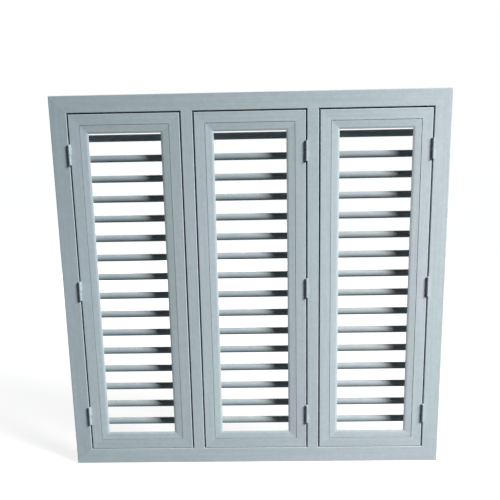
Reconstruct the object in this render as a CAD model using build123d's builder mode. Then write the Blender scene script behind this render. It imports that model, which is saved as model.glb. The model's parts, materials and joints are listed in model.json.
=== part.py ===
"""Steel casement window: a welded tube frame with three outward-opening sashes and a grille of round bars.

Millimetres. X runs along the sill, Y from the outside face to the back, Z up.
The origin is the middle of the sill's underside.
"""
import os
from math import sqrt

from build123d import *

# Frame, over its outer edges
frame_width = 1220.0
frame_height = 1220.0
frame_depth = 40.0
frame_face = 52.0
mullion_face = 36.0

# Ground-down weld at the frame's outer corners, as a share of the sheet
corner_round_share = 2.6

# Folded sheet that all the tubes are made of
sheet = 1.5
bend_radius = 0.5
lip_reach = 14.0

# Sash: a flat tube, a narrow groove, then a pressed flange whose band and bevel slope back to the opening.
# It hangs low in the frame, with a wider gap at its head than at its foot.
sash_gap = 4.0
sash_head_gap = 4.0
sash_foot_gap = 1.0
sash_seat_clearance = 1.0
sash_tube_face = 32.5
groove_width = 1.2
groove_depth = 2.0
groove_round = 0.5
band_setback = 0.4
band_run = 19.3
band_fall = 1.1
bevel_run = 6.0
bevel_fall = 1.5
moulding_round = 1.2

# Grille of round bars welded across the back of the frame
bar_count = 16
bar_diameter = 22.0
bar_wall = 1.5
bar_lap = 40.0
bar_seat_gap = 0.1

# Lift-off barrel hinges, each in two halves with a washer between
hinges_per_sash = 3
hinge_end_distance = 121.5
barrel_diameter = 8.0
barrel_length = 31.0
barrel_seat_clearance = 0.3
barrel_chamfer = 0.8
weld_foot_reach = 7.0
weld_foot_clearance = 0.4
pin_diameter = 4.5
pin_length = 22.0
pin_chamfer = 0.8
pin_end_room = 1.5
washer_thickness = 1.0
washer_inset = 0.3
washer_bore_clearance = 0.2
running_clearance = 0.05

# Turn latch on the back of each sash's closing stile
lever_length = 40.0
lever_width = 16.0
lever_thickness = 4.0
lever_edge_chamfer = 0.6
lever_clearance = 0.6
stud_diameter = 8.0
stud_height = 9.0
stud_end_inset = 6.0
stud_round = 1.5
pivot_diameter = 8.0
pivot_collar_diameter = 14.0
pivot_head_thickness = 2.5
pivot_head_round = 1.0
rivet_diameter = 6.0
rivet_fit = 0.02

# One light to each name, and the side that its sash hangs on: -1 left, 1 right
light_names = ("left", "middle", "right")
hinge_sides = (-1, 1, 1)

# Sizes that follow from those above
fold_radius = bend_radius + sheet
corner_round = corner_round_share * sheet
lip_thickness = 2 * sheet
front_y = -frame_depth / 2
back_y = frame_depth / 2
light_count = len(light_names)
bay_width = (frame_width - 2 * frame_face - (light_count - 1) * mullion_face) / light_count
bay_pitch = bay_width + mullion_face
sash_width = bay_width - 2 * sash_gap
sash_height = frame_height - 2 * frame_face - sash_head_gap - sash_foot_gap
sash_foot_z = frame_face + sash_foot_gap
sash_middle_z = sash_foot_z + sash_height / 2
sash_depth = frame_depth - lip_thickness - sash_seat_clearance
sash_back_y = front_y + sash_depth
sash_member_width = sash_tube_face + groove_width + band_run + bevel_run
frame_member_width = frame_face + lip_reach
grille_pitch = (frame_height - 2 * frame_member_width) / (bar_count + 1)
bar_length = frame_width - 2 * frame_member_width + 2 * bar_lap
bar_y = back_y + bar_seat_gap + bar_diameter / 2
barrel_radius = barrel_diameter / 2
barrel_to_fold = barrel_radius + fold_radius + barrel_seat_clearance
barrel_rise = sqrt(barrel_to_fold**2 - (sash_gap / 2 + fold_radius) ** 2) - fold_radius
hinge_y = front_y - barrel_rise
hinge_spacing = (sash_height - 2 * hinge_end_distance) / (hinges_per_sash - 1)
first_hinge_z = sash_foot_z + hinge_end_distance
latch_inset = (lip_reach - sash_gap + sash_tube_face) / 2
latch_z = frame_height / 2
lever_y = back_y + lever_clearance


def light_center(light):
    """Where the middle of a light lies along the sill."""
    return (light - (light_count - 1) / 2) * bay_pitch


def hinge_x(light):
    """Where a sash's hinge line lies: the middle of the gap on its hinge side."""
    return light_center(light) + hinge_sides[light] * (bay_width - sash_gap) / 2


def latch_x(light):
    """Where a sash's latch turns, on the bare back of its closing stile."""
    return light_center(light) - hinge_sides[light] * (sash_width / 2 - latch_inset)


def hinge_heights():
    """The heights of a sash's hinges, each at the joint between its two halves."""
    return [first_hinge_z + index * hinge_spacing for index in range(hinges_per_sash)]


def round_corners(section, points, radius):
    """Round the corners of a section that lie at the given points."""
    for point in points:
        fillet(section.vertices().sort_by_distance(point)[0], radius)


def save(part, name):
    """Label a finished piece and write it out."""
    part.label = name
    export_step(part, f"parts/{name}.step")


os.makedirs("parts", exist_ok=True)


# Sections, drawn with x inwards from the member's outer edge and y from the face to the back

with BuildSketch() as frame_section:
    lip_front = frame_depth - lip_thickness
    with BuildLine():
        Polyline(
            (0, 0),
            (frame_face, 0),
            (frame_face, lip_front),
            (frame_member_width, lip_front),
            (frame_member_width, frame_depth),
            (0, frame_depth),
            close=True,
        )
    make_face()
    round_corners(frame_section, [(0, 0), (frame_face, 0), (0, frame_depth)], fold_radius)
    round_corners(
        frame_section, [(frame_member_width, lip_front), (frame_member_width, frame_depth)], bend_radius
    )
    with Locations((frame_face / 2, frame_depth / 2)):
        RectangleRounded(
            frame_face - 2 * sheet, frame_depth - 2 * sheet, bend_radius, mode=Mode.SUBTRACT
        )

with BuildSketch() as mullion_section:
    half_face = mullion_face / 2
    half_width = half_face + lip_reach
    with BuildLine():
        Polyline(
            (-half_face, 0),
            (half_face, 0),
            (half_face, lip_front),
            (half_width, lip_front),
            (half_width, frame_depth),
            (-half_width, frame_depth),
            (-half_width, lip_front),
            (-half_face, lip_front),
            close=True,
        )
    make_face()
    round_corners(mullion_section, [(-half_face, 0), (half_face, 0)], fold_radius)
    for side in (-1, 1):
        round_corners(
            mullion_section,
            [(side * half_width, lip_front), (side * half_width, frame_depth)],
            bend_radius,
        )
    with Locations((0, frame_depth / 2)):
        RectangleRounded(
            mullion_face - 2 * sheet, frame_depth - 2 * sheet, bend_radius, mode=Mode.SUBTRACT
        )

with BuildSketch() as sash_section:
    groove_end = sash_tube_face + groove_width
    band_start = (groove_end, band_setback)
    bevel_start = (groove_end + band_run, band_setback + band_fall)
    opening_edge = (sash_member_width, bevel_start[1] + bevel_fall)
    with BuildLine():
        Polyline(
            (0, 0),
            (sash_tube_face, 0),
            (sash_tube_face, groove_depth),
            (groove_end, groove_depth),
            band_start,
            bevel_start,
            opening_edge,
            (opening_edge[0], opening_edge[1] + lip_thickness),
            (bevel_start[0], bevel_start[1] + lip_thickness),
            (sash_tube_face, band_setback + lip_thickness),
            (sash_tube_face, sash_depth),
            (0, sash_depth),
            close=True,
        )
    make_face()
    round_corners(sash_section, [(0, 0), (sash_tube_face, sash_depth), (0, sash_depth)], fold_radius)
    round_corners(sash_section, [(sash_tube_face, 0), band_start], groove_round)
    round_corners(sash_section, [bevel_start, opening_edge], moulding_round)
    with Locations((sash_tube_face / 2, sash_depth / 2)):
        RectangleRounded(
            sash_tube_face - 2 * sheet, sash_depth - 2 * sheet, bend_radius, mode=Mode.SUBTRACT
        )


def edge_planes(center_x, center_z, width, height):
    """Planes for the sections of the four members around a rectangle, by the edge they lie on.

    Each plane's x points inwards and its y to the back, from the middle of that edge.
    """
    return {
        "bottom": Plane((center_x, front_y, center_z - height / 2), x_dir=(0, 0, 1), z_dir=(-1, 0, 0)),
        "top": Plane((center_x, front_y, center_z + height / 2), x_dir=(0, 0, -1), z_dir=(1, 0, 0)),
        "left": Plane((center_x - width / 2, front_y, center_z), x_dir=(1, 0, 0), z_dir=(0, 0, 1)),
        "right": Plane((center_x + width / 2, front_y, center_z), x_dir=(-1, 0, 0), z_dir=(0, 0, -1)),
    }


def mitred_member(section, place, length, width, depth):
    """A tube along one edge of a rectangle, cut at 45 degrees at both ends."""
    with BuildPart() as member:
        with BuildSketch(place):
            add(section)
        extrude(amount=length / 2, both=True)
        with BuildSketch(Plane(place.origin, x_dir=place.z_dir, z_dir=place.y_dir)):
            with BuildLine():
                Polyline(
                    (-length / 2, 0),
                    (length / 2, 0),
                    (length / 2 - width, width),
                    (width - length / 2, width),
                    close=True,
                )
            make_face()
        extrude(amount=depth, mode=Mode.INTERSECT)
    return member.part


# Outer frame, with its outer corners ground round
frame_planes = edge_planes(0, frame_height / 2, frame_width, frame_height)
frame_members = {
    "frame_sill": ("bottom", frame_width),
    "frame_head": ("top", frame_width),
    "frame_left_jamb": ("left", frame_height),
    "frame_right_jamb": ("right", frame_height),
}
outline_plane = Plane((0, front_y, frame_height / 2), x_dir=(1, 0, 0), z_dir=(0, 1, 0))
for name, (edge, length) in frame_members.items():
    with BuildPart() as frame_member:
        add(
            mitred_member(
                frame_section.sketch, frame_planes[edge], length, frame_member_width, frame_depth
            )
        )
        with BuildSketch(outline_plane):
            RectangleRounded(frame_width, frame_height, corner_round)
        extrude(amount=frame_depth, mode=Mode.INTERSECT)
    save(frame_member.part, name)

# Mullions: notched at the back for the lips of the sill and the head, and welded to them flush at the face
for index, name in enumerate(("left_mullion", "right_mullion")):
    mullion_x = light_center(index) + bay_pitch / 2
    mullion_foot = Plane((mullion_x, front_y, frame_face), x_dir=(1, 0, 0), z_dir=(0, 0, 1))
    with BuildPart() as mullion:
        with BuildSketch(mullion_foot):
            add(mullion_section.sketch)
        extrude(amount=frame_height - 2 * frame_face)
        for end_z, outwards in ((frame_face, -1), (frame_height - frame_face, 1)):
            with BuildSketch(Plane((mullion_x, back_y, end_z), x_dir=(1, 0, 0), z_dir=(0, -1, 0))):
                Rectangle(mullion_face + 2 * lip_reach, 2 * lip_reach)
            extrude(amount=lip_thickness, mode=Mode.SUBTRACT)
            with BuildSketch(Plane((mullion_x, front_y, end_z), x_dir=(0, 1, 0), z_dir=(1, 0, 0))):
                with Locations((fold_radius / 2, outwards * fold_radius / 2)):
                    Rectangle(fold_radius, fold_radius)
                with Locations((fold_radius, outwards * fold_radius)):
                    Circle(fold_radius, mode=Mode.SUBTRACT)
            extrude(amount=mullion_face / 2 - fold_radius, both=True)
    save(mullion.part, name)

# Grille bars, from the lowest up
for index in range(bar_count):
    bar_z = frame_member_width + (index + 1) * grille_pitch
    with BuildPart() as grille_bar:
        with BuildSketch(Plane((0, bar_y, bar_z), x_dir=(0, 1, 0), z_dir=(1, 0, 0))):
            Circle(bar_diameter / 2)
            Circle(bar_diameter / 2 - bar_wall, mode=Mode.SUBTRACT)
        extrude(amount=bar_length / 2, both=True)
    save(grille_bar.part, f"grille_bar_{index + 1:02d}")

# Sashes: two stiles and two rails each, with the latch's rivet hole in the closing stile
for light, light_name in enumerate(light_names):
    sash_planes = edge_planes(light_center(light), sash_middle_z, sash_width, sash_height)
    hinge_edge, closing_edge = ("left", "right") if hinge_sides[light] < 0 else ("right", "left")
    sash_members = {
        "bottom_rail": ("bottom", sash_width),
        "top_rail": ("top", sash_width),
        "hinge_stile": (hinge_edge, sash_height),
        "closing_stile": (closing_edge, sash_height),
    }
    for member_name, (edge, length) in sash_members.items():
        with BuildPart() as sash_member:
            add(
                mitred_member(
                    sash_section.sketch, sash_planes[edge], length, sash_member_width, sash_depth
                )
            )
            if member_name == "closing_stile":
                rivet_seat = Plane((latch_x(light), sash_back_y, latch_z), z_dir=(0, -1, 0))
                with BuildSketch(rivet_seat):
                    Circle(rivet_diameter / 2 + rivet_fit)
                extrude(amount=sheet, mode=Mode.SUBTRACT)
        save(sash_member.part, f"{light_name}_sash_{member_name}")


def barrel_with_foot(light, foot_z, foot_side):
    """Half a hinge's barrel, with the weld foot that carries it on one side of the gap."""
    foot_edge = sash_gap / 2 + weld_foot_clearance
    with BuildPart() as barrel:
        with BuildSketch(Plane((hinge_x(light), hinge_y, foot_z))):
            Circle(barrel_radius)
        extrude(amount=barrel_length)
        ends = barrel.edges().filter_by(GeomType.CIRCLE)
        chamfer(ends, barrel_chamfer)
        with BuildSketch(Plane((hinge_x(light), hinge_y, foot_z + barrel_chamfer))):
            with BuildLine():
                Polyline(
                    (foot_side * foot_edge, 0),
                    (foot_side * foot_edge, front_y - hinge_y),
                    (foot_side * weld_foot_reach, front_y - hinge_y),
                    (foot_side * (barrel_radius - barrel_chamfer), 0),
                    close=True,
                )
            make_face()
        extrude(amount=barrel_length - 2 * barrel_chamfer)
    return barrel.part


# Hinges: the lower half with the pin on the frame, the upper half on the sash
for light, light_name in enumerate(light_names):
    for number, joint_z in enumerate(hinge_heights(), start=1):
        pintle_top = joint_z - washer_thickness / 2
        with BuildPart() as pintle:
            add(barrel_with_foot(light, pintle_top - barrel_length, hinge_sides[light]))
            with BuildSketch(Plane((hinge_x(light), hinge_y, pintle_top))):
                Circle(pin_diameter / 2)
            extrude(amount=washer_thickness + pin_length)
            chamfer(pintle.faces().sort_by(Axis.Z)[-1].edges(), pin_chamfer)
        save(pintle.part, f"{light_name}_hinge_{number}_pintle")

        knuckle_foot = joint_z + washer_thickness / 2 + running_clearance
        with BuildPart() as knuckle:
            add(barrel_with_foot(light, knuckle_foot, -hinge_sides[light]))
            with BuildSketch(Plane((hinge_x(light), hinge_y, knuckle_foot))):
                Circle(pin_diameter / 2 + running_clearance)
            extrude(amount=pin_length + pin_end_room, mode=Mode.SUBTRACT)
        save(knuckle.part, f"{light_name}_hinge_{number}_knuckle")

# Washers of all the hinges, alike and loose on their pins
with BuildPart() as hinge_washers:
    for light in range(light_count):
        for joint_z in hinge_heights():
            with BuildSketch(Plane((hinge_x(light), hinge_y, joint_z - washer_thickness / 2))):
                Circle(barrel_radius - washer_inset)
                Circle(pin_diameter / 2 + washer_bore_clearance, mode=Mode.SUBTRACT)
            extrude(amount=washer_thickness)
save(hinge_washers.part, "hinge_washers")

# Latches: a shouldered rivet in the closing stile, and the lever that turns on it
for light, light_name in enumerate(light_names):
    pivot_front = Plane((latch_x(light), sash_back_y - sheet, latch_z), z_dir=(0, 1, 0))
    collar_length = lever_y - running_clearance - sash_back_y
    journal_length = lever_thickness + 2 * running_clearance
    with BuildPart() as latch_pivot:
        with BuildSketch(pivot_front):
            Circle(rivet_diameter / 2)
        extrude(amount=sheet)
        with BuildSketch(pivot_front.offset(sheet)):
            Circle(pivot_collar_diameter / 2)
        extrude(amount=collar_length)
        with BuildSketch(pivot_front.offset(sheet + collar_length)):
            Circle(pivot_diameter / 2)
        extrude(amount=journal_length)
        with BuildSketch(pivot_front.offset(sheet + collar_length + journal_length)):
            Circle(pivot_collar_diameter / 2)
        extrude(amount=pivot_head_thickness)
        head_rim = latch_pivot.faces().sort_by(Axis.Y)[-1].edges()
        fillet(head_rim, pivot_head_round)
    save(latch_pivot.part, f"{light_name}_latch_pivot")

    lever_front = Plane((latch_x(light), lever_y, latch_z), x_dir=(0, 0, -1), z_dir=(0, 1, 0))
    with BuildPart() as latch_lever:
        with BuildSketch(lever_front):
            SlotOverall(lever_length, lever_width)
        extrude(amount=lever_thickness)
        chamfer(latch_lever.faces().sort_by(Axis.Y)[-1].edges(), lever_edge_chamfer)
        with BuildSketch(lever_front):
            Circle(pivot_diameter / 2 + running_clearance)
        extrude(amount=lever_thickness, mode=Mode.SUBTRACT)
        with BuildSketch(lever_front.offset(lever_thickness)):
            with Locations((lever_length / 2 - stud_end_inset, 0)):
                Circle(stud_diameter / 2)
        extrude(amount=stud_height)
        fillet(latch_lever.faces().sort_by(Axis.Y)[-1].edges(), stud_round)
    save(latch_lever.part, f"{light_name}_latch_lever")
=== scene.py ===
"""Looks of the steel window: its coat of paint, its welds, a plain studio and the camera.

Metres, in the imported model's own frame: X along the sill, Y from the outside face to the back, Z up.
"""
import json
import logging
import math
import random
from dataclasses import dataclass, field
from enum import Enum

import bmesh
import bpy
from mathutils import Matrix, Vector


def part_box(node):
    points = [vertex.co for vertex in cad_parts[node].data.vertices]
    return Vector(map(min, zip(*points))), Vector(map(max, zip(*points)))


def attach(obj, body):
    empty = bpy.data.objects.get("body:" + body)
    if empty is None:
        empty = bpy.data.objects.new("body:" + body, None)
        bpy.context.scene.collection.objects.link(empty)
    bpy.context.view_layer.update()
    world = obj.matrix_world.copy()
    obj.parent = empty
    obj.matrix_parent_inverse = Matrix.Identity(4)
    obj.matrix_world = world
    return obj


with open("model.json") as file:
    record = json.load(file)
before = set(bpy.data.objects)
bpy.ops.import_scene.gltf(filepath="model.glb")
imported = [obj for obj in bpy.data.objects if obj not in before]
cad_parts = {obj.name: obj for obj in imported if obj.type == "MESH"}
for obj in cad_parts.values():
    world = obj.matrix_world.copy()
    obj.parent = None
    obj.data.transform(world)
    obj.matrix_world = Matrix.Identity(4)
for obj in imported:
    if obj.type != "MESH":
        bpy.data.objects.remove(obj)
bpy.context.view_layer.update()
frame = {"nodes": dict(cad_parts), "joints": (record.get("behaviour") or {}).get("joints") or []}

LOG = logging.getLogger("steel_window")
MM = 0.001
HINGE_NUMBERS = (1, 2, 3)

Colour = tuple[float, float, float]
Source = bpy.types.NodeSocket | float | tuple[float, ...]


class Cover(Enum):
    """How much paler or darker a member's coat is painted: painted light and shade."""

    THIN = 0.95
    EVEN = 1.0
    FULL = 1.08


class Light(Enum):
    """The window's three lights.

    Each has the side that its sash hangs on, the painted light and shade of its left and of its right stile,
    and the tone of its hinges, which is painted light and shade too.
    """

    # Painted light and shade: the left stiles are painted paler, the right stiles of the left and middle
    # lights darker, and the hinges darker where the lamps light them most, paler on the left light as a
    # painted highlight.
    LEFT = ("left", -1, Cover.FULL, Cover.THIN, 0.92)
    MIDDLE = ("middle", 1, Cover.FULL, Cover.THIN, 0.72)
    RIGHT = ("right", 1, Cover.FULL, Cover.EVEN, 0.72)

    @property
    def label(self) -> str:
        """The word that the light's pieces start with."""
        return self.value[0]

    @property
    def hinge_side(self) -> int:
        """-1 where the sash hangs on its left, 1 where it hangs on its right."""
        return self.value[1]

    @property
    def stile_covers(self) -> dict[str, Cover]:
        """The painted light and shade of each stile.

        Returns:
            The painted tones by the stiles' names.
        """
        left, right = self.value[2:4]
        if self.hinge_side < 0:
            return {"hinge_stile": left, "closing_stile": right}
        return {"hinge_stile": right, "closing_stile": left}

    @property
    def hinge_tone(self) -> float:
        """How pale the light's hinges are painted: painted light and shade, paler on the left light as a
        painted highlight.
        """
        return self.value[4]


class Run(Enum):
    """The way that a member lies, as the stretch of the streaks on it."""

    ALONG_X = (0.015, 1.0, 1.0)
    ALONG_Z = (1.0, 1.0, 0.015)
    ROUND = (1.0, 1.0, 1.0)

    @property
    def patches(self) -> tuple[float, ...]:
        """The stretch of the broader patches of tint, less than that of the streaks."""
        return tuple(math.sqrt(share) for share in self.value)


@dataclass(frozen=True)
class Seams:
    """Where the ground welds of a rectangle of tubes lie: on the mitres at its corners.

    The rectangle stands at every pitch along the sill. A lean of 1 is a mitre, and 0 a level butt joint.
    """

    half_width: float
    half_height: float
    middle: float
    pitch: float = 4.0
    lean: float = 1.0


@dataclass(frozen=True)
class Grain:
    """A noise: how many times to a metre it repeats, its octaves, and how strong the finer ones are."""

    scale: Source
    detail: float = 3.0
    roughness: float = 0.55


@dataclass(frozen=True)
class Spread:
    """A smooth change: the values that it runs between, and the results at its two ends."""

    low: float
    high: float
    start: float = 0.0
    end: float = 1.0


class NodeSheet:
    """A node tree, with short ways to add and join its nodes."""

    def __init__(self, tree: bpy.types.NodeTree) -> None:
        """Keep the tree.

        Args:
            tree: the material's, world's or group's own tree.
        """
        self.tree = tree

    def add(self, kind: str, **settings: object) -> bpy.types.Node:
        """Add a node.

        Args:
            kind: the node's type, without the ShaderNode in front.
            settings: the node's own properties.

        Returns:
            The new node.
        """
        node = self.tree.nodes.new(f"ShaderNode{kind}")
        for name, value in settings.items():
            setattr(node, name, value)
        return node

    def feed(self, socket: bpy.types.NodeSocket, source: Source) -> None:
        """Join a socket to another socket, or set its value.

        Args:
            socket: the input that takes the value.
            source: an output socket, a number, a vector or a colour.
        """
        if isinstance(source, bpy.types.NodeSocket):
            self.tree.links.new(source, socket)
        elif isinstance(source, tuple) and socket.type == "RGBA":
            socket.default_value = (*source, 1.0)
        else:
            socket.default_value = source

    def math(self, operation: str, *values: Source, clamp: bool = False) -> bpy.types.NodeSocket:
        """Work out a number.

        Args:
            operation: the Math node's operation.
            values: its inputs, in order, as sockets or numbers.
            clamp: whether the result stays from 0 to 1.

        Returns:
            The result's socket.
        """
        node = self.add("Math", operation=operation, use_clamp=clamp)
        for socket, value in zip(node.inputs, values):
            self.feed(socket, value)
        return node.outputs["Value"]

    def multiply(self, vector: Source, share: Source) -> bpy.types.NodeSocket:
        """Scale a place along each axis.

        Args:
            vector: the place.
            share: the scale along each axis.

        Returns:
            The scaled place's socket.
        """
        node = self.add("VectorMath", operation="MULTIPLY")
        self.feed(node.inputs[0], vector)
        self.feed(node.inputs[1], share)
        return node.outputs["Vector"]

    def ramp(self, value: Source, spread: Spread) -> bpy.types.NodeSocket:
        """Spread a value smoothly over a range.

        Args:
            value: the socket that is read.
            spread: where the change starts and ends, and its results there.

        Returns:
            The result's socket.
        """
        node = self.add("MapRange", interpolation_type="SMOOTHSTEP", clamp=True)
        for name, number in (
            ("Value", value), ("From Min", spread.low), ("From Max", spread.high),
            ("To Min", spread.start), ("To Max", spread.end),
        ):
            self.feed(node.inputs[name], number)
        return node.outputs["Result"]

    def noise(self, vector: Source, grain: Grain) -> bpy.types.NodeSocket:
        """A noise value over the surface.

        Args:
            vector: where it is read.
            grain: the noise.

        Returns:
            The value's socket, about 0.5 on average.
        """
        node = self.add("TexNoise", noise_dimensions="3D")
        for name, number in (
            ("Vector", vector), ("Scale", grain.scale), ("Detail", grain.detail),
            ("Roughness", grain.roughness),
        ):
            self.feed(node.inputs[name], number)
        return node.outputs["Fac"]

    def mix(self, share: Source, first: Source, second: Source, blend: str = "MIX") -> bpy.types.NodeSocket:
        """Mix two colours.

        Args:
            share: how much of the second, from 0 to 1.
            first: the colour underneath.
            second: the colour on top.
            blend: the way they mix.

        Returns:
            The mixed colour's socket.
        """
        node = self.add("Mix", data_type="RGBA", blend_type=blend)
        self.feed(node.inputs[0], share)
        self.feed(node.inputs[6], first)
        self.feed(node.inputs[7], second)
        return node.outputs[2]

    def group(self, tree: bpy.types.NodeTree, values: dict[str, Source]) -> bpy.types.Node:
        """Place a shared group.

        Args:
            tree: the group.
            values: what each of its inputs gets.

        Returns:
            The group's node.
        """
        node = self.add("Group", node_tree=tree)
        for name, value in values.items():
            self.feed(node.inputs[name], value)
        return node


def blank_material(name: str) -> tuple[bpy.types.Material, NodeSheet]:
    """Make a material with no nodes.

    Args:
        name: the material's name.

    Returns:
        The material, and the sheet of its nodes.
    """
    made = bpy.data.materials.new(name)
    made.use_nodes = True
    made.node_tree.nodes.clear()
    return made, NodeSheet(made.node_tree)


def shaped_object(name: str, shape: bmesh.types.BMesh) -> bpy.types.Object:
    """Turn a finished shape into an object in the scene, at the origin.

    Args:
        name: the object's and its mesh's name.
        shape: the shape, which is used up.

    Returns:
        The new object.
    """
    mesh = bpy.data.meshes.new(name)
    shape.to_mesh(mesh)
    shape.free()
    made = bpy.data.objects.new(name, mesh)
    bpy.context.scene.collection.objects.link(made)
    return made


@dataclass
class Effect:
    """A shader node group under construction, with its named inputs and outputs."""

    name: str
    inputs: dict[str, str]
    outputs: dict[str, str]
    tree: bpy.types.NodeTree = field(init=False)
    sheet: NodeSheet = field(init=False)

    def __post_init__(self) -> None:
        """Make the empty group with its sockets."""
        self.tree = bpy.data.node_groups.new(self.name, "ShaderNodeTree")
        for name, kind in self.inputs.items():
            self.tree.interface.new_socket(name, in_out="INPUT", socket_type=f"NodeSocket{kind}")
        for name, kind in self.outputs.items():
            self.tree.interface.new_socket(name, in_out="OUTPUT", socket_type=f"NodeSocket{kind}")
        self.sheet = NodeSheet(self.tree)
        self._source = self.tree.nodes.new("NodeGroupInput")
        self._target = self.tree.nodes.new("NodeGroupOutput")

    def given(self, name: str) -> bpy.types.NodeSocket:
        """The inside of one of the group's inputs."""
        return self._source.outputs[name]

    def give(self, name: str, source: bpy.types.NodeSocket) -> None:
        """Join a socket to one of the group's outputs."""
        self.tree.links.new(source, self._target.inputs[name])


class PaintEffects:
    """The effects that the finishes share, each built once."""

    TINT_GRAIN = Grain(12.0, 1.0)
    TINT_SPREAD = Spread(0.38, 0.62)
    PATCH_GRAIN = Grain(20.0, 1.5, 0.5)
    PATCH_SPREAD = Spread(0.35, 0.7)
    TONE_GRAIN = Grain(70.0, 5.0, 0.65)
    TONE_SPREAD = Spread(0.25, 0.75, 0.94, 1.04)

    STREAK_DETAIL = 4.0
    STREAK_ROUGHNESS = 0.6
    STREAK_SPREAD = Spread(0.3, 0.7)
    FINE_STREAK_SHARE = 3.5
    FINE_STREAK_DETAIL = 2.0
    FINE_STREAK_HEIGHT = 0.4

    EDGE_SAMPLES = 6
    EDGE_SPREAD = Spread(0.015, 0.2)
    RUB_GRAIN = Grain(55.0, 4.0, 0.7)
    RUB_SPREAD = Spread(0.35, 0.65, 0.25, 1.0)

    UPWARD_SPREAD = Spread(0.35, 0.95)
    DUST_GRAIN = Grain(30.0, 5.0, 0.65)
    DUST_SPREAD = Spread(0.3, 0.7, 0.3, 1.0)

    # Painted shade in a piece's own inner corners, found by occlusion.
    CORNER_SAMPLES = 8
    CORNER_SPREAD = Spread(0.95, 0.35)
    GRIME_GRAIN = Grain(40.0, 4.0, 0.65)
    GRIME_SPREAD = Spread(0.3, 0.7, 0.45, 1.0)

    SEAM_STRAY = 3.0 * MM
    SEAM_STRAY_GRAIN = Grain(160.0)
    SEAM_SPREAD = Spread(0.6 * MM, 4.5 * MM, 1.0, 0.0)
    SEAM_BREAK_GRAIN = Grain(45.0)
    SEAM_BREAK_SPREAD = Spread(0.35, 0.65, 0.35, 1.0)

    def __init__(self) -> None:
        """Build the groups."""
        self.mottle = self._mottle()
        self.streaks = self._streaks()
        self.edge_rub = self._edge_rub()
        self.dust = self._dust()
        self.grime = self._grime()
        self.seam = self._seam()

    def _mottle(self) -> bpy.types.NodeTree:
        """Build the broad patches of two tints in the coat, with a finer change of tone.

        Returns:
            The group, with the coat's colour as its output.
        """
        effect = Effect(
            "coat_mottle",
            {"Vector": "Vector", "Stretch": "Vector", "Coat": "Color", "First tint": "Color",
             "Second tint": "Color", "Amount": "Float"},
            {"Color": "Color"},
        )
        sheet = effect.sheet
        place = sheet.multiply(effect.given("Vector"), effect.given("Stretch"))
        side = sheet.ramp(sheet.noise(place, self.TINT_GRAIN), self.TINT_SPREAD)
        tint = sheet.mix(side, effect.given("First tint"), effect.given("Second tint"))
        patch = sheet.ramp(sheet.noise(place, self.PATCH_GRAIN), self.PATCH_SPREAD)
        share = sheet.math("MULTIPLY", patch, effect.given("Amount"))
        patched = sheet.mix(share, effect.given("Coat"), tint)
        tone = sheet.ramp(sheet.noise(effect.given("Vector"), self.TONE_GRAIN), self.TONE_SPREAD)
        effect.give("Color", sheet.mix(1.0, patched, tone, "MULTIPLY"))
        return effect.tree

    def _streaks(self) -> bpy.types.NodeTree:
        """Build the fine streaks of the coat along a member.

        Returns:
            The group, with a tone and a height as its outputs.
        """
        effect = Effect(
            "run_streaks",
            {"Vector": "Vector", "Stretch": "Vector", "Fineness": "Float"},
            {"Tone": "Float", "Height": "Float"},
        )
        sheet = effect.sheet
        place = sheet.multiply(effect.given("Vector"), effect.given("Stretch"))
        fineness = effect.given("Fineness")
        finer = sheet.math("MULTIPLY", fineness, self.FINE_STREAK_SHARE)
        broad = sheet.noise(place, Grain(fineness, self.STREAK_DETAIL, self.STREAK_ROUGHNESS))
        fine = sheet.noise(place, Grain(finer, self.FINE_STREAK_DETAIL))
        effect.give("Tone", sheet.ramp(broad, self.STREAK_SPREAD))
        effect.give("Height", sheet.math("ADD", broad, sheet.math("MULTIPLY", fine, self.FINE_STREAK_HEIGHT)))
        return effect.tree

    def _edge_rub(self) -> bpy.types.NodeTree:
        """Build the mask of the folds and edges, where the coat is rubbed down.

        Returns:
            The group, with the mask as its output.
        """
        effect = Effect(
            "edge_rub", {"Vector": "Vector", "Radius": "Float", "Amount": "Float"}, {"Mask": "Float"}
        )
        sheet = effect.sheet
        rounded = sheet.add("Bevel", samples=self.EDGE_SAMPLES)
        sheet.feed(rounded.inputs["Radius"], effect.given("Radius"))
        turn = sheet.add("VectorMath", operation="DOT_PRODUCT")
        sheet.feed(turn.inputs[0], rounded.outputs["Normal"])
        sheet.feed(turn.inputs[1], sheet.add("NewGeometry").outputs["Normal"])
        edge = sheet.ramp(sheet.math("SUBTRACT", 1.0, turn.outputs["Value"]), self.EDGE_SPREAD)
        self._break_up(effect, edge, self.RUB_GRAIN, self.RUB_SPREAD)
        return effect.tree

    def _dust(self) -> bpy.types.NodeTree:
        """Build the mask of the faces that look up, where dust settles.

        Returns:
            The group, with the mask as its output.
        """
        effect = Effect("settled_dust", {"Vector": "Vector", "Amount": "Float"}, {"Mask": "Float"})
        sheet = effect.sheet
        parts = sheet.add("SeparateXYZ")
        sheet.feed(parts.inputs[0], sheet.add("TexCoord").outputs["Normal"])
        upward = sheet.ramp(parts.outputs["Z"], self.UPWARD_SPREAD)
        self._break_up(effect, upward, self.DUST_GRAIN, self.DUST_SPREAD)
        return effect.tree

    def _grime(self) -> bpy.types.NodeTree:
        """Build the painted shade in a piece's own inner corners: an occlusion mask, broken into patches.

        Returns:
            The group, with the mask as its output.
        """
        effect = Effect(
            "corner_grime", {"Vector": "Vector", "Reach": "Float", "Amount": "Float"}, {"Mask": "Float"}
        )
        sheet = effect.sheet
        open_sky = sheet.add("AmbientOcclusion", samples=self.CORNER_SAMPLES, only_local=True)
        sheet.feed(open_sky.inputs["Distance"], effect.given("Reach"))
        closed = sheet.ramp(open_sky.outputs["AO"], self.CORNER_SPREAD)
        self._break_up(effect, closed, self.GRIME_GRAIN, self.GRIME_SPREAD)
        return effect.tree

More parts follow.
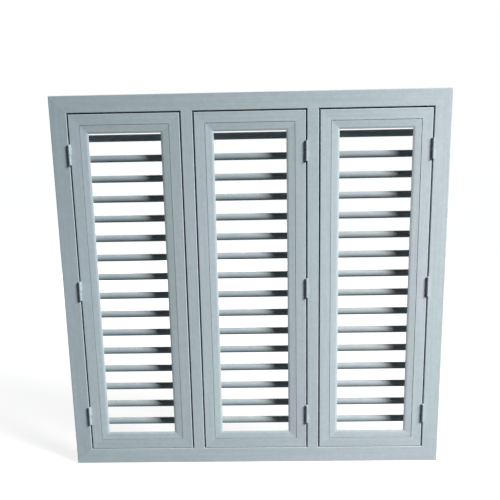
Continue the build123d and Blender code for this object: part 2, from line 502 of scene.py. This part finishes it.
    @staticmethod
    def _break_up(effect: Effect, mask: bpy.types.NodeSocket, grain: Grain, spread: Spread) -> None:
        """Break a mask up into patches, and put it out in the amount that is asked for.

        Args:
            effect: the group, with a place and an amount among its inputs.
            mask: the even mask.
            grain: the noise that the patches come from.
            spread: how much of the mask stays, from the thin patches to the full ones.
        """
        sheet = effect.sheet
        patch = sheet.ramp(sheet.noise(effect.given("Vector"), grain), spread)
        broken = sheet.math("MULTIPLY", mask, patch)
        effect.give("Mask", sheet.math("MULTIPLY", broken, effect.given("Amount"), clamp=True))

    def _seam(self) -> bpy.types.NodeTree:
        """Build the mask of the ground welds at the corners of a rectangle of tubes.

        Returns:
            The group, with the mask as its output.
        """
        effect = Effect(
            "ground_seam",
            {"Vector": "Vector", "Half width": "Float", "Half height": "Float", "Middle": "Float",
             "Pitch": "Float", "Lean": "Float"},
            {"Mask": "Float"},
        )
        sheet = effect.sheet
        place = effect.given("Vector")
        parts = sheet.add("SeparateXYZ")
        sheet.feed(parts.inputs[0], place)
        half_pitch = sheet.math("MULTIPLY", effect.given("Pitch"), 0.5)
        local = sheet.math("WRAP", parts.outputs["X"], half_pitch, sheet.math("MULTIPLY", half_pitch, -1.0))
        across = sheet.math("SUBTRACT", effect.given("Half width"), sheet.math("ABSOLUTE", local))
        height = sheet.math("SUBTRACT", parts.outputs["Z"], effect.given("Middle"))
        upward = sheet.math("SUBTRACT", effect.given("Half height"), sheet.math("ABSOLUTE", height))
        apart = sheet.math("SUBTRACT", sheet.math("MULTIPLY", across, effect.given("Lean")), upward)
        stray = sheet.noise(place, self.SEAM_STRAY_GRAIN)
        uneven = sheet.math("MULTIPLY_ADD", stray, self.SEAM_STRAY, -self.SEAM_STRAY / 2)
        apart = sheet.math("ABSOLUTE", sheet.math("ADD", apart, uneven))
        line = sheet.ramp(apart, self.SEAM_SPREAD)
        broken = sheet.ramp(sheet.noise(place, self.SEAM_BREAK_GRAIN), self.SEAM_BREAK_SPREAD)
        effect.give("Mask", sheet.math("MULTIPLY", line, broken))
        return effect.tree


@dataclass(frozen=True)
class PaintFinish:
    """The blue-grey coat, as it lies on one kind of piece."""

    name: str
    run: Run
    seams: Seams | None = None
    # Scales the coat paler or darker: painted light and shade on the stiles, the left jamb, the hinges and
    # the bars.
    tone: float = 1.0
    coat: Colour = (0.385, 0.455, 0.490)
    green_tint: Colour = (0.370, 0.462, 0.474)
    lilac_tint: Colour = (0.402, 0.450, 0.505)
    rubbed: Colour = (0.56, 0.62, 0.65)
    filler: Colour = (0.43, 0.485, 0.505)
    dust: Colour = (0.56, 0.56, 0.53)
    # Painted shade: the dark colour that the piece's own inner corners are darkened to.
    grime: Colour = (0.10, 0.125, 0.14)
    mottle_amount: float = 0.7
    streak_amount: float = 0.05
    streak_lift_share: float = 0.5
    streak_fineness: float = 150.0
    rub_radius: float = 1.8 * MM
    rub_amount: float = 0.3
    dust_amount: float = 0.25
    # How far and how strongly the painted shade reaches into inner corners.
    grime_reach: float = 8.0 * MM
    grime_amount: float = 0.45
    seam_amount: float = 0.4
    specular: float = 0.25
    roughness: float = 0.46
    streak_dulling: float = 0.12
    rub_shine: float = 0.10
    dust_dulling: float = 0.30
    peel_grain: Grain = Grain(700.0, 2.0)
    wave_grain: Grain = Grain(14.0, 1.0)
    ripple_depth: float = 0.4 * MM
    ripple_strength: float = 0.5
    streak_height: float = 0.10
    peel_height: float = 0.10
    wave_height: float = 2.5
    seam_height: float = 0.5

    def material(self, effects: PaintEffects) -> bpy.types.Material:
        """Build the material.

        Args:
            effects: the shared node groups.

        Returns:
            The finished material.
        """
        made, sheet = blank_material(self.name)
        place = sheet.add("TexCoord").outputs["Object"]
        streaks = sheet.group(effects.streaks, {
            "Vector": place, "Stretch": self.run.value, "Fineness": self.streak_fineness,
        })
        rub = sheet.group(effects.edge_rub, {
            "Vector": place, "Radius": self.rub_radius, "Amount": self.rub_amount,
        }).outputs["Mask"]
        dust = sheet.group(effects.dust, {"Vector": place, "Amount": self.dust_amount}).outputs["Mask"]
        # Painted shade in the piece's own inner corners, from an occlusion mask.
        grime = sheet.group(effects.grime, {
            "Vector": place, "Reach": self.grime_reach, "Amount": self.grime_amount,
        }).outputs["Mask"]
        colour = self._painted(sheet, effects, place, streaks.outputs["Tone"])
        peel = sheet.math("MULTIPLY", sheet.noise(place, self.peel_grain), self.peel_height)
        height = sheet.math("MULTIPLY_ADD", streaks.outputs["Height"], self.streak_height, peel)
        height = sheet.math("MULTIPLY_ADD", sheet.noise(place, self.wave_grain), self.wave_height, height)
        if self.seams:
            seam = sheet.group(effects.seam, {
                "Vector": place, "Half width": self.seams.half_width, "Half height": self.seams.half_height,
                "Middle": self.seams.middle, "Pitch": self.seams.pitch, "Lean": self.seams.lean,
            }).outputs["Mask"]
            colour = sheet.mix(sheet.math("MULTIPLY", seam, self.seam_amount), colour, self.filler)
            height = sheet.math("MULTIPLY_ADD", seam, self.seam_height, height)
        # Painted shade: darken the inner corners.
        colour = sheet.mix(grime, colour, self.grime)
        colour = sheet.mix(rub, colour, self._toned(self.rubbed))
        colour = sheet.mix(dust, colour, self.dust)
        smoothest = self.roughness - self.streak_dulling / 2
        rough = sheet.math("MULTIPLY_ADD", streaks.outputs["Tone"], self.streak_dulling, smoothest)
        rough = sheet.math("MULTIPLY_ADD", rub, -self.rub_shine, rough)
        rough = sheet.math("MULTIPLY_ADD", dust, self.dust_dulling, rough, clamp=True)
        bump = sheet.add("Bump")
        sheet.feed(bump.inputs["Strength"], self.ripple_strength)
        sheet.feed(bump.inputs["Distance"], self.ripple_depth)
        sheet.feed(bump.inputs["Height"], height)
        surface = sheet.add("BsdfPrincipled")
        sheet.feed(surface.inputs["Base Color"], colour)
        sheet.feed(surface.inputs["Roughness"], rough)
        sheet.feed(surface.inputs["Specular IOR Level"], self.specular)
        sheet.feed(surface.inputs["Normal"], bump.outputs["Normal"])
        sheet.feed(sheet.add("OutputMaterial").inputs["Surface"], surface.outputs["BSDF"])
        return made

    def _painted(
        self, sheet: NodeSheet, effects: PaintEffects, place: bpy.types.NodeSocket,
        streaks: bpy.types.NodeSocket,
    ) -> bpy.types.NodeSocket:
        """The coat itself, with its patches of tint and its streaks.

        Args:
            sheet: the material's nodes.
            effects: the shared node groups.
            place: where the coat is read.
            streaks: the tone of the streaks, from 0 to 1.

        Returns:
            The colour's socket.
        """
        mottle = sheet.group(effects.mottle, {
            "Vector": place, "Stretch": self.run.patches, "Coat": self._toned(self.coat),
            "First tint": self._toned(self.green_tint), "Second tint": self._toned(self.lilac_tint),
            "Amount": self.mottle_amount,
        })
        darkest = 1.0 - self.streak_amount
        palest = 1.0 + self.streak_lift_share * self.streak_amount
        tone = sheet.ramp(streaks, Spread(0.0, 1.0, darkest, palest))
        return sheet.mix(1.0, mottle.outputs["Color"], tone, "MULTIPLY")

    def _toned(self, colour: Colour) -> Colour:
        """A colour of the coat, scaled by the piece's tone: painted light and shade on the stiles, the left
        jamb, the hinges and the bars.
        """
        return tuple(self.tone * channel for channel in colour)


@dataclass(frozen=True)
class SteelFinish:
    """Bare steel, dulled and stained."""

    name: str
    steel: Colour = (0.30, 0.30, 0.29)
    stain: Colour = (0.16, 0.13, 0.10)
    roughness: float = 0.42
    stain_grain: Grain = Grain(320.0, 4.0, 0.65)
    stain_spread: Spread = Spread(0.45, 0.7)
    stain_metal: Spread = Spread(0.0, 1.0, 1.0, 0.3)
    stain_dulling: float = 0.3

    def material(self) -> bpy.types.Material:
        """Build the material.

        Returns:
            The finished material.
        """
        made, sheet = blank_material(self.name)
        place = sheet.add("TexCoord").outputs["Object"]
        stained = sheet.ramp(sheet.noise(place, self.stain_grain), self.stain_spread)
        surface = sheet.add("BsdfPrincipled")
        sheet.feed(surface.inputs["Base Color"], sheet.mix(stained, self.steel, self.stain))
        sheet.feed(surface.inputs["Metallic"], sheet.ramp(stained, self.stain_metal))
        rough = sheet.math("MULTIPLY_ADD", stained, self.stain_dulling, self.roughness)
        sheet.feed(surface.inputs["Roughness"], rough)
        sheet.feed(sheet.add("OutputMaterial").inputs["Surface"], surface.outputs["BSDF"])
        return made


class Welds:
    """The weld beads of one body, gathered in one piece."""

    START_SHARE = 0.55
    END_SHARE = 0.5
    FEWEST_RIPPLES = 3

    def __init__(self, name: str, seed: int, ripple: float = 2.6 * MM, sides: int = 6) -> None:
        """Start with no bead.

        Args:
            name: the piece's name.
            seed: what its unevenness is drawn from.
            ripple: how far apart a bead's ripples are.
            sides: how many flats a bead has round its section.
        """
        self.name = name
        self.ripple = ripple
        self.sides = sides
        self._draw = random.Random(seed)
        self._shape = bmesh.new()

    def bead(self, start: Vector, end: Vector, radius: float, uneven: float = 0.2) -> None:
        """Lay a bead, ripple after ripple, with narrower ends.

        Args:
            start: where it starts, on its middle line.
            end: where it ends.
            radius: half its thickness.
            uneven: how much its ripples differ, as a share of the radius.
        """
        shape = self._shape
        steps = max(self.FEWEST_RIPPLES, round((end - start).length / self.ripple))
        stride = (end - start) / steps
        place = Matrix.Translation(start) @ stride.to_track_quat("Z", "Y").to_matrix().to_4x4()
        width = self.START_SHARE * radius
        ring = bmesh.ops.create_circle(shape, cap_ends=True, segments=self.sides, radius=width, matrix=place)
        face = ring["verts"][0].link_faces[0]
        for step in range(1, steps + 1):
            grown = bmesh.ops.extrude_face_region(shape, geom=[face])["geom"]
            face = next(part for part in grown if isinstance(part, bmesh.types.BMFace))
            wanted = radius * (1.0 + uneven * self._draw.uniform(-1.0, 1.0))
            if step == steps:
                wanted = self.END_SHARE * radius
            centre = start + (step - 1) * stride
            bmesh.ops.scale(
                shape, vec=(wanted / width,) * 3, space=Matrix.Translation(-centre), verts=face.verts
            )
            bmesh.ops.translate(shape, vec=stride, verts=face.verts)
            width = wanted

    def finish(self, body: str, slot: str, material: bpy.types.Material) -> None:
        """Make the piece.

        Args:
            body: what it moves with.
            slot: the record's finish that it has; not used.
            material: its material.
        """
        bmesh.ops.recalc_face_normals(self._shape, faces=self._shape.faces)
        piece = shaped_object(self.name, self._shape)
        piece.data.shade_smooth()
        piece.data.materials.append(material)
        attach(piece, body)
        LOG.info("welded %s on %s, %d faces", self.name, body, len(piece.data.polygons))


def dress(node: str, material: bpy.types.Material) -> None:
    """Give a carried-over node its material.

    Args:
        node: the node's name.
        material: what it gets.
    """
    for slot in frame["nodes"][node].material_slots:
        slot.material = material
    LOG.info("dressed %s in %s", node, material.name)


@dataclass
class OuterFrame:
    """The welded tube frame and its two mullions."""

    corner_bead: float = 1.6 * MM
    mullion_bead: float = 1.8 * MM
    corner_inset: float = 5.0 * MM
    bead_end: float = 3.0 * MM
    weld_seed: int = 11
    mullions: tuple[str, str] = ("left_mullion", "right_mullion")
    low: Vector = field(init=False)
    high: Vector = field(init=False)
    sill_top: float = field(init=False)
    head_foot: float = field(init=False)

    def __post_init__(self) -> None:
        """Read the frame's own sizes."""
        self.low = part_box("frame_sill")[0]
        self.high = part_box("frame_head")[1]
        self.low.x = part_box("frame_left_jamb")[0].x
        self.high.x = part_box("frame_right_jamb")[1].x
        self.sill_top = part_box("frame_sill")[1].z
        self.head_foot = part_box("frame_head")[0].z

    def dress(self, effects: PaintEffects) -> None:
        """Paint the members along their own lengths.

        Args:
            effects: the shared node groups.
        """
        middle = (self.low.z + self.high.z) / 2
        mitres = Seams(self.high.x, self.high.z - middle, middle)
        level = PaintFinish("frame_coat_level", Run.ALONG_X, mitres).material(effects)
        upright = PaintFinish("frame_coat_upright", Run.ALONG_Z, mitres).material(effects)
        # Painted shade: the left jamb is painted darker than the right.
        shaded_jamb = PaintFinish("frame_coat_thin", Run.ALONG_Z, mitres, tone=Cover.THIN.value).material(effects)
        for node in ("frame_head", "frame_sill"):
            dress(node, level)
        dress("frame_left_jamb", shaded_jamb)
        dress("frame_right_jamb", upright)
        foot, top = (corner.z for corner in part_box(self.mullions[0]))
        butts = Seams(0.0, (top - foot) / 2, middle, lean=0.0)
        coat = PaintFinish("mullion_coat", Run.ALONG_Z, butts).material(effects)
        for node in self.mullions:
            dress(node, coat)

    def weld(self, coat: bpy.types.Material) -> None:
        """Weld the mitres and the mullions' ends at the back.

        Args:
            coat: the material of painted welds.
        """
        welds = Welds("frame_welds", self.weld_seed)
        back = self.high.y
        lip = self.sill_top - self.low.z
        for side in (-1, 1):
            for edge, inwards in ((self.low.z, 1), (self.high.z, -1)):
                corner = Vector((side * self.high.x, back, edge))
                mitre = Vector((-side, 0.0, inwards))
                welds.bead(corner + self.corner_inset * mitre, corner + lip * mitre, self.corner_bead)
        for node in self.mullions:
            left, right = (corner.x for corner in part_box(node))
            for joint in (self.sill_top, self.head_foot):
                start = Vector((left + self.bead_end, back, joint))
                welds.bead(start, Vector((right - self.bead_end, back, joint)), self.mullion_bead)
        welds.finish("frame", "frame_paint", coat)


@dataclass
class Grille:
    """The round bars across the back."""

    supports: tuple[str, ...] = ("frame_left_jamb", "left_mullion", "right_mullion", "frame_right_jamb")
    bead_radius: float = 2.1 * MM
    bead_lift: float = 0.9 * MM
    bead_inset: float = 7.0 * MM
    bead_stray: float = 4.0 * MM
    bead_ripple: float = 3.6 * MM
    bead_sides: int = 5
    seat_share: float = 0.6
    weld_seed: int = 23
    stray_seed: int = 31
    bars: list[str] = field(init=False)

    def __post_init__(self) -> None:
        """List the bars, from the lowest up."""
        self.bars = sorted(node for node in frame["nodes"] if node.startswith("grille_bar_"))

    def dress(self, effects: PaintEffects) -> None:
        """Paint the bars along their length, darker than the frame as painted shade.

        Args:
            effects: the shared node groups.
        """
        # Painted shade: the bars' coat is darker, for the shade they sit in behind the sashes.
        coat = PaintFinish("bar_coat", Run.ALONG_X, tone=0.68, specular=0.12, roughness=0.5).material(effects)
        for node in self.bars:
            dress(node, coat)

    def weld(self, coat: bpy.types.Material) -> None:
        """Weld each bar above and below where it crosses the frame.

        Args:
            coat: the material of painted welds.
        """
        welds = Welds("grille_welds", self.weld_seed, self.bead_ripple, self.bead_sides)
        stray = random.Random(self.stray_seed)
        for node in self.bars:
            low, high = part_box(node)
            middle = (low.z + high.z) / 2
            reach = self.seat_share * (high.z - low.z) / 2
            for support in self.supports:
                seat_low, seat_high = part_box(support)
                left = max(low.x, seat_low.x) + self.bead_inset
                right = min(high.x, seat_high.x) - self.bead_inset
                for side in (-1, 1):
                    line = seat_high.y + self.bead_lift
                    start = left + stray.uniform(0.0, self.bead_stray)
                    end = right - stray.uniform(0.0, self.bead_stray)
                    height = middle + side * reach
                    welds.bead(Vector((start, line, height)), Vector((end, line, height)), self.bead_radius)
        welds.finish("frame", "bar_paint", coat)


@dataclass
class Sash:
    """One hinged sash, with its hinge halves and its latch."""

    light: Light
    tube_face: float = 32.5 * MM
    flange_start: float = 34.5 * MM
    flange_back_outer: float = 3.4 * MM
    flange_back_inner: float = 6.0 * MM
    seat_overlap: float = 15.0 * MM
    bead_radius: float = 1.4 * MM
    hinge_bead: float = 1.3 * MM
    hinge_bead_end: float = 3.0 * MM
    toe_share: float = 0.8
    sash_seed: int = 41
    pintle_seed: int = 53
    low: Vector = field(init=False)
    high: Vector = field(init=False)
    member: float = field(init=False)
    axis: Vector = field(init=False)

    def __post_init__(self) -> None:
        """Read the sash's own sizes."""
        label = self.light.label
        self.low, self.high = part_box(f"{label}_sash_bottom_rail")
        self.member = self.high.z - self.low.z
        self.high.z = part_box(f"{label}_sash_top_rail")[1].z
        swing = next(joint for joint in frame["joints"] if joint["name"] == f"{label}_sash_swing")
        self.axis = Vector(swing["pos_m"])

    def dress(self, coats: dict[str, bpy.types.Material]) -> None:
        """Paint the members, the hinges and the latch.

        Args:
            coats: the materials by the kind of piece.
        """
        label = self.light.label
        # Each stile's coat carries its painted light or shade.
        for member, shading in self.light.stile_covers.items():
            dress(f"{label}_sash_{member}", coats[f"stile_{shading.name.lower()}"])
        for member in ("top_rail", "bottom_rail"):
            dress(f"{label}_sash_{member}", coats["rail"])
        for number in HINGE_NUMBERS:
            dress(f"{label}_hinge_{number}_pintle", coats[f"{label}_hinge"])
            dress(f"{label}_hinge_{number}_knuckle", coats[f"{label}_hinge"])
        dress(f"{label}_latch_pivot", coats["latch"])
        dress(f"{label}_latch_lever", coats["latch"])

    def weld(self, coat: bpy.types.Material) -> None:
        """Weld the corners at the back, and the hinge halves to the sash and the frame.

        Args:
            coat: the material of painted welds.
        """
        label = self.light.label
        side = self.light.hinge_side
        on_sash = Welds(f"{label}_sash_welds", self.sash_seed + side)
        tube_back = Vector((0.0, self.high.y, 0.0))
        outer = Vector((0.0, self.low.y + self.flange_back_outer, 0.0))
        inner = Vector((0.0, self.low.y + self.flange_back_inner, 0.0))
        for corner_x, right in ((self.low.x, 1), (self.high.x, -1)):
            for corner_z, up in ((self.low.z, 1), (self.high.z, -1)):
                corner = Vector((corner_x, 0.0, corner_z))
                inwards = Vector((right, 0.0, up))
                on_sash.bead(corner + self.seat_overlap * inwards + tube_back,
                             corner + self.tube_face * inwards + tube_back, self.bead_radius)
                on_sash.bead(corner + self.flange_start * inwards + outer,
                             corner + (self.member - self.bead_radius) * inwards + inner, self.bead_radius)
        on_frame = Welds(f"{label}_pintle_welds", self.pintle_seed + side)
        for number in HINGE_NUMBERS:
            knuckle_low, knuckle_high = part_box(f"{label}_hinge_{number}_knuckle")
            pintle_low, pintle_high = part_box(f"{label}_hinge_{number}_pintle")
            length = knuckle_high.z - knuckle_low.z
            pintle_reach = (pintle_high.x if side > 0 else pintle_low.x) - self.axis.x
            self._toe(on_frame, pintle_reach, pintle_low.z, length)
            self._toe(on_sash, -pintle_reach, knuckle_low.z, length)
        on_sash.finish(f"{label}_sash", "sash_paint", coat)
        on_frame.finish("frame", "hinge_steel", coat)

    def _toe(self, welds: Welds, reach: float, foot: float, length: float) -> None:
        """Lay the bead along the toe of a hinge half.

        Args:
            welds: the beads that it joins.
            reach: how far the toe lies from the hinge line, to the right.
            foot: the half's lower end.
            length: the half's length.
        """
        line = Vector((self.axis.x + self.toe_share * reach, self.low.y, 0.0))
        start = line + Vector((0.0, 0.0, foot + self.hinge_bead_end))
        welds.bead(start, line + Vector((0.0, 0.0, foot + length - self.hinge_bead_end)), self.hinge_bead)


@dataclass(frozen=True)
class Studio:
    """A pale floor, white surroundings, the lamps and the camera."""

    floor_half: float = 30.0
    lens_mm: float = 43.11
    sensor_mm: float = 36.0
    eye: tuple[float, float, float] = (0.0341, -1.8753, 1.1105)
    yaw_deg: float = -1.257
    pitch_deg: float = -11.426
    roll_deg: float = -1.145
    key_azimuth_deg: float = 61.0
    key_elevation_deg: float = 34.0
    key_spread_deg: float = 18.0
    key_distance: float = 4.0
    key_strength: float = 4.3
    key_colour: Colour = (0.90, 0.975, 1.0)
    side_place: tuple[float, float, float] = (2.15, -1.4, 2.3)
    side_aim: tuple[float, float, float] = (0.35, 0.0, -0.75)
    side_power: float = 37.0
    side_size: float = 0.8
    side_spread_deg: float = 90.0
    side_colour: Colour = (1.0, 0.90, 0.85)
    back_place: tuple[float, float, float] = (-0.6, 3.2, 0.8)
    back_power: float = 90.0
    back_aim: tuple[float, float, float] = (0.0, 0.0, 0.6)
    back_size: float = 2.0
    fill: Colour = (0.018, 0.024, 0.030)
    floor_seen: float = 0.25
    floor_bounce: float = 0.07
    floor_glow: float = 0.82

    def build(self) -> None:
        """Make the whole studio."""
        self._floor()
        self._world()
        self._key()
        side = self._lamp("side", "AREA", Vector(self.side_place), Vector(self.side_aim), self.side_power)
        side.data.size = self.side_size
        side.data.spread = math.radians(self.side_spread_deg)
        side.data.color = self.side_colour
        back = self._lamp("back", "AREA", Vector(self.back_place), Vector(self.back_aim), self.back_power)
        back.data.size = self.back_size
        self._camera()

    @staticmethod
    def _seen_directly(sheet: NodeSheet) -> bpy.types.NodeSocket:
        """Tell what the camera sees, also in gloss and through glass, from what only gets light.

        Args:
            sheet: the nodes that it is worked out in.

        Returns:
            A socket that is 1 for what is seen and 0 for the rest.
        """
        path = sheet.add("LightPath")
        seen = sheet.math("MAXIMUM", path.outputs["Is Camera Ray"], path.outputs["Is Glossy Ray"])
        return sheet.math("MAXIMUM", seen, path.outputs["Is Transmission Ray"])

    def _floor(self) -> None:
        """A plain floor, white to the eye, that keeps the window's shadow."""
        shape = bmesh.new()
        bmesh.ops.create_grid(shape, x_segments=1, y_segments=1, size=self.floor_half)
        floor = shaped_object("studio_floor", shape)
        coat, sheet = blank_material("studio_floor")
        seen = self._seen_directly(sheet)
        shade = sheet.add("BsdfDiffuse")
        sheet.feed(shade.inputs["Color"], sheet.mix(seen, (self.floor_bounce,) * 3, (self.floor_seen,) * 3))
        glow = sheet.add("Emission")
        sheet.feed(glow.inputs["Color"], (1.0, 1.0, 1.0))
        sheet.feed(glow.inputs["Strength"], sheet.math("MULTIPLY", seen, self.floor_glow))
        both = sheet.add("AddShader")
        sheet.feed(both.inputs[0], shade.outputs["BSDF"])
        sheet.feed(both.inputs[1], glow.outputs["Emission"])
        sheet.feed(sheet.add("OutputMaterial").inputs["Surface"], both.outputs["Shader"])
        floor.data.materials.append(coat)

    def _world(self) -> None:
        """White surroundings to the eye, and a low even fill on the window."""
        world = bpy.data.worlds.new("studio")
        bpy.context.scene.world = world
        world.use_nodes = True
        world.node_tree.nodes.clear()
        sheet = NodeSheet(world.node_tree)
        colour = sheet.mix(self._seen_directly(sheet), self.fill, (1.0, 1.0, 1.0))
        light = sheet.add("Background")
        sheet.feed(light.inputs["Color"], colour)
        sheet.feed(light.inputs["Strength"], 1.0)
        sheet.feed(sheet.add("OutputWorld").inputs["Surface"], light.outputs["Background"])

    def _lamp(self, name: str, kind: str, place: Vector, aim: Vector, energy: float) -> bpy.types.Object:
        """Add a lamp.

        Args:
            name: its name.
            kind: SUN or AREA.
            place: where it stands.
            aim: what it points at.
            energy: its strength.

        Returns:
            The lamp's object.
        """
        data = bpy.data.lights.new(name, kind)
        data.energy = energy
        lamp = bpy.data.objects.new(name, data)
        lamp.location = place
        lamp.rotation_mode = "QUATERNION"
        lamp.rotation_quaternion = (aim - place).to_track_quat("-Z", "Y")
        lamp.visible_camera = False
        bpy.context.scene.collection.objects.link(lamp)
        return lamp

    def _key(self) -> None:
        """The main light, from the right of the outside face and from above."""
        azimuth = math.radians(self.key_azimuth_deg)
        elevation = math.radians(self.key_elevation_deg)
        towards = Vector((
            math.sin(azimuth) * math.cos(elevation),
            -math.cos(azimuth) * math.cos(elevation),
            math.sin(elevation),
        ))
        lamp = self._lamp("key", "SUN", towards * self.key_distance, Vector(), self.key_strength)
        lamp.data.angle = math.radians(self.key_spread_deg)
        lamp.data.color = self.key_colour

    def _camera(self) -> None:
        """The camera, where the picture was taken from."""
        yaw, pitch, roll = (math.radians(a) for a in (self.yaw_deg, self.pitch_deg, self.roll_deg))
        forward = Vector((math.sin(yaw) * math.cos(pitch), math.cos(yaw) * math.cos(pitch), math.sin(pitch)))
        level = Vector((math.cos(yaw), -math.sin(yaw), 0.0))
        upright = level.cross(forward)
        right = math.cos(roll) * level + math.sin(roll) * upright
        up = -math.sin(roll) * level + math.cos(roll) * upright
        data = bpy.data.cameras.new("camera")
        data.lens = self.lens_mm
        data.sensor_width = self.sensor_mm
        camera = bpy.data.objects.new("camera", data)
        axes = Matrix((right, up, -forward)).transposed()
        camera.matrix_world = Matrix.Translation(self.eye) @ axes.to_4x4()
        bpy.context.scene.collection.objects.link(camera)
        bpy.context.scene.camera = camera


def sash_coats(sashes: list[Sash], effects: PaintEffects) -> dict[str, bpy.types.Material]:
    """The materials that the sashes share.

    Args:
        sashes: all of them, alike in size and evenly spaced along the sill.
        effects: the shared node groups.

    Returns:
        The materials by the kind of piece.
    """
    first, second = sashes[0], sashes[1]
    middle = (first.low.z + first.high.z) / 2
    half_width = (first.high.x - first.low.x) / 2
    mitres = Seams(half_width, first.high.z - middle, middle, pitch=second.low.x - first.low.x)
    # The stiles' coats are paler and darker copies of one coat: painted light and shade.
    finishes = {
        f"stile_{shading.name.lower()}": PaintFinish(
            f"stile_coat_{shading.name.lower()}", Run.ALONG_Z, mitres, tone=shading.value
        )
        for shading in Cover
    }
    # Painted light and shade: the hinges' coats are darker where the lamps light them most, paler on the left
    # light as a painted highlight.
    finishes |= {
        f"{light.label}_hinge": PaintFinish(
            f"{light.label}_hinge_coat", Run.ROUND, tone=light.hinge_tone, specular=0.2, rub_amount=0.4
        )
        for light in Light
    }
    finishes |= {
        "rail": PaintFinish("rail_coat", Run.ALONG_X, mitres),
        "latch": PaintFinish("latch_coat", Run.ROUND, rub_amount=0.75),
    }
    return {kind: finish.material(effects) for kind, finish in finishes.items()}


def main() -> None:
    """Dress the window, weld it and set up the studio."""
    logging.basicConfig(level=logging.INFO, format="%(name)s: %(message)s")
    bpy.context.scene.view_settings.view_transform = "Standard"
    effects = PaintEffects()
    # The welds carry stronger painted shade in their corners.
    weld_coat = PaintFinish("weld_coat", Run.ROUND, roughness=0.52, grime_amount=0.6).material(effects)
    outer_frame = OuterFrame()
    outer_frame.dress(effects)
    outer_frame.weld(weld_coat)
    grille = Grille()
    grille.dress(effects)
    grille.weld(weld_coat)
    sashes = [Sash(light) for light in Light]
    coats = sash_coats(sashes, effects)
    for sash in sashes:
        sash.dress(coats)
        sash.weld(weld_coat)
    dress("hinge_washers", SteelFinish("washer_steel").material())
    Studio().build()


if __name__ == "__main__":
    main()
